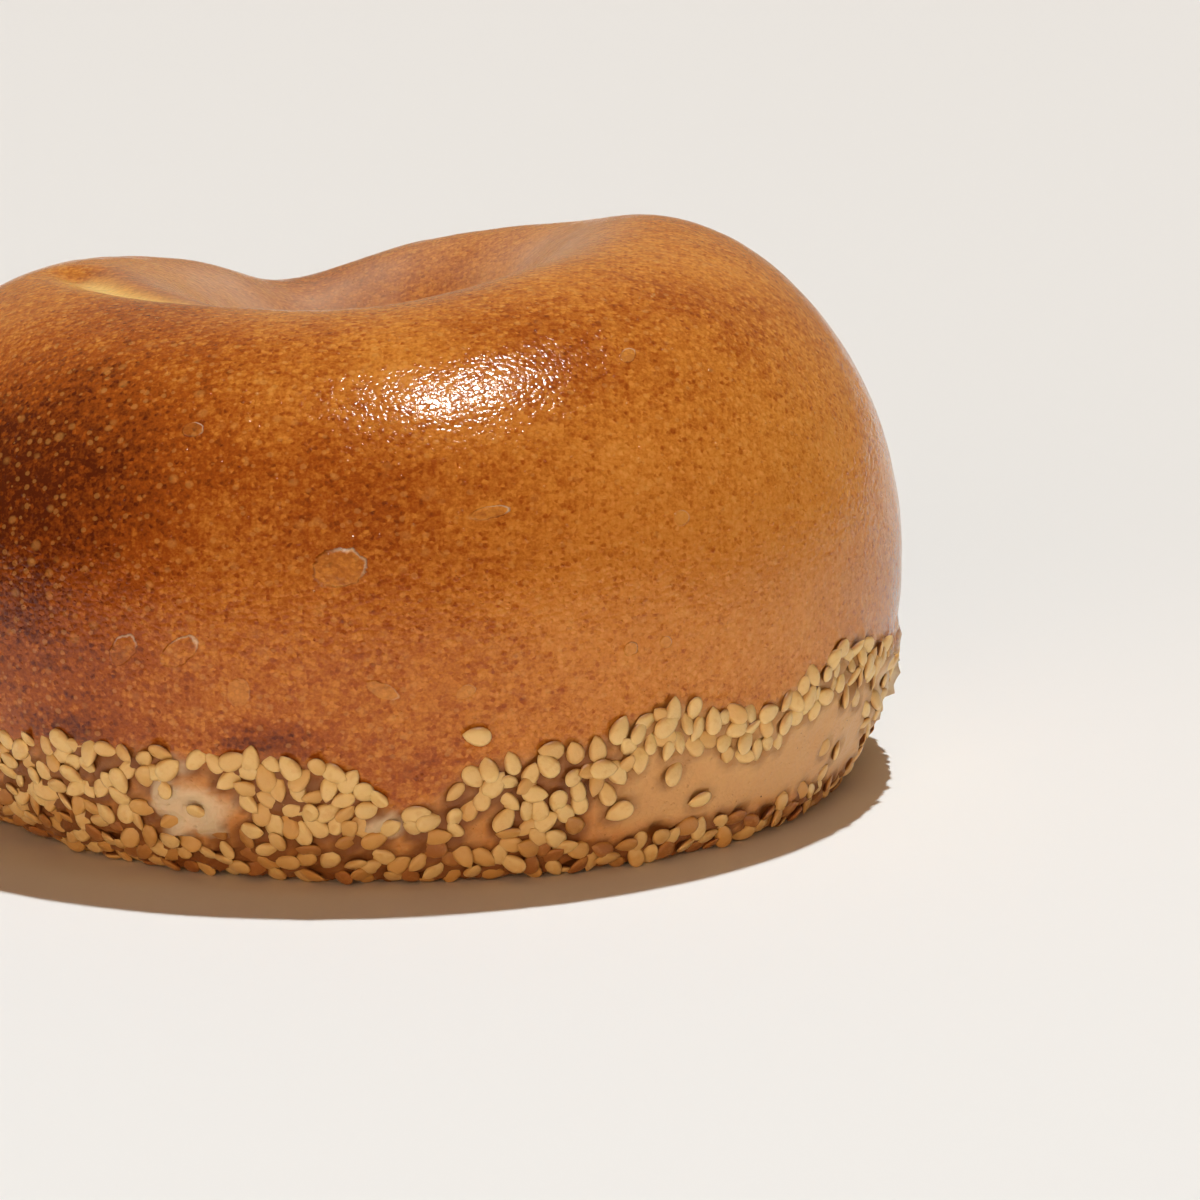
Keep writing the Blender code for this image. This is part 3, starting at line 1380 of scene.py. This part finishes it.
@dataclass(frozen=True)
class Lamp:
    """A distant lamp: where it stands seen from the bagel, its strength and width, and what it acts on."""

    name: str
    stands: tuple[float, float, float]
    strength: float
    angle: float
    colour: Colour = (1.0, 1.0, 1.0)
    lights: bool = True
    glints: bool = False

    def hang(self) -> None:
        """Adds the lamp."""
        lamp = bpy.data.objects.new(self.name, bpy.data.lights.new(self.name, "SUN"))
        lamp.data.energy = self.strength
        lamp.data.angle = math.radians(self.angle)
        lamp.data.color = self.colour
        lamp.rotation_euler = Vector(self.stands).to_track_quat("Z", "Y").to_euler()
        lamp.visible_diffuse = self.lights
        lamp.visible_glossy = self.glints
        bpy.context.scene.collection.objects.link(lamp)


@dataclass(frozen=True)
class Studio:
    """A plain pale table with one lamp overhead, a warm fill from the front and a dim even fill."""

    table_size: float = 14.0
    dome_radius: float = 6.5
    glow: Colour = (0.83, 0.79, 0.75)
    fill: Colour = (1.0, 0.62, 0.38)
    fill_strength: float = 0.10
    backing_strength: float = 0.45
    lamps: tuple[Lamp, ...] = (
        Lamp("overhead_lamp", (0.08, 0.27, 1.0), 2.95, 1.6, (0.90, 0.98, 1.0)),
        Lamp("front_fill", (-0.15, -1.0, 0.20), 1.5, 50.0, (1.0, 0.62, 0.35)),
        Lamp("glint_lamp", (0.150, -0.093, 1.0), 2.3, 9.5, lights=False, glints=True),
    )

    def build(self) -> None:
        """Lays the table, hangs the backdrop and switches on the light."""
        bpy.ops.mesh.primitive_plane_add(size=self.table_size, location=(0, 0, 0))
        table = bpy.context.object
        table.name = "table"
        table.data.materials.append(PlainPaper().mix())
        self._hang_dome()
        for lamp in self.lamps:
            lamp.hang()
        self._light_world()

    def _light_world(self) -> None:
        """Fills the room dimly, and lights it brightly from the paper that hangs behind the bagel."""
        world = bpy.data.worlds.new("even_fill")
        world.use_nodes = True
        tree = world.node_tree
        way = tree.nodes.new("ShaderNodeTexCoord")
        parts = tree.nodes.new("ShaderNodeSeparateXYZ")
        behind = tree.nodes.new("ShaderNodeMapRange")
        behind.interpolation_type = "SMOOTHSTEP"
        behind.inputs["From Min"].default_value = 0.25
        behind.inputs["From Max"].default_value = 0.85
        behind.inputs["To Min"].default_value = self.fill_strength
        behind.inputs["To Max"].default_value = self.backing_strength
        backing = tree.nodes["Background"]
        backing.inputs["Color"].default_value = (*self.fill, 1.0)
        tree.links.new(way.outputs["Generated"], parts.inputs["Vector"])
        tree.links.new(parts.outputs["Y"], behind.inputs["Value"])
        tree.links.new(behind.outputs["Result"], backing.inputs["Strength"])
        bpy.context.scene.world = world

    def _hang_dome(self) -> None:
        """Hangs a pale backdrop that only the camera sees, and that casts no light of its own."""
        bpy.ops.mesh.primitive_uv_sphere_add(segments=48, ring_count=24, radius=self.dome_radius)
        dome = bpy.context.object
        dome.name = "backdrop"
        recipe = Recipe("backdrop")
        dome.data.materials.append(
            recipe.dress(Base_Color=(0.0, 0.0, 0.0), Emission_Color=self.glow, Emission_Strength=1.0)
        )
        dome.visible_diffuse = False
        dome.visible_glossy = False
        dome.visible_shadow = False


@dataclass(frozen=True)
class Viewpoint:
    """Where the bagel is seen from, as distances from the ring's own axis in millimetres."""

    aim: tuple[float, float, float] = (25.4, 0.0, 17.7)
    distance: float = 385.0
    elevation: float = 12.0
    lens: float = 100.0
    sensor: float = 36.0

    def build(self, ring: Ring) -> None:
        """Sets up the camera.

        Args:
            ring: the bagel's ring, whose axis the aim is measured from.
        """
        rise = math.radians(self.elevation)
        aim = Vector((self.aim[0] + ring.shift[0], self.aim[1] + ring.shift[1], self.aim[2]))
        back = Vector((0.0, -math.cos(rise), math.sin(rise))) * self.distance
        camera = bpy.data.objects.new("camera", bpy.data.cameras.new("camera"))
        camera.data.lens = self.lens
        camera.data.sensor_width = self.sensor
        camera.location = (aim + back) * MM
        camera.rotation_euler = (math.radians(QUARTER_TURN - self.elevation), 0.0, 0.0)
        bpy.context.scene.collection.objects.link(camera)
        bpy.context.scene.camera = camera


def settle(ring: Ring) -> Ring:
    """Finds how far the CAD model was moved to centre it, and moves the ring with it.

    Args:
        ring: the ring about its own axis.

    Returns:
        The ring in the CAD model's place.
    """
    low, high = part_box(CRUST)
    azimuth = np.arange(0, FULL_TURN, 5.0)
    rim = ring.point(azimuth, 0.0)
    middle = (rim.min(0) + rim.max(0)) / 2
    return Ring(shift=((low.x + high.x) / 2 / MM - middle[0], (low.y + high.y) / 2 / MM - middle[1]))


def main() -> None:
    """Builds the bagel around the CAD model and reports each piece."""
    logging.basicConfig(level=logging.INFO, format="%(name)s: %(message)s")
    for old in list(bpy.data.objects):
        bpy.data.objects.remove(old)
    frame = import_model()
    ring = settle(Ring())
    log.info("the ring's axis is at %.2f, %.2f mm", *ring.shift)
    belt = SeedBelt(ring, frame["nodes"])
    belt.read_cad_seeds()
    belt.scatter()
    skin = SeedSkin().mix()
    pieces = [(piece, "sesame", skin) for piece in belt.build()]
    pieces.append((Bread(ring, belt).build(), "crust", GlazedCrust(ring).mix()))
    for piece, slot, finish in pieces:
        piece.data.materials.append(finish)
        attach(piece, "root")
        log.info("%s: %d faces", piece.name, len(piece.data.polygons))
    log.info("%d seeds", len(belt.seeds))
    Studio().build()
    Viewpoint().build(ring)
    bpy.context.scene.view_settings.view_transform = "Standard"


if __name__ == "__main__":
    main()
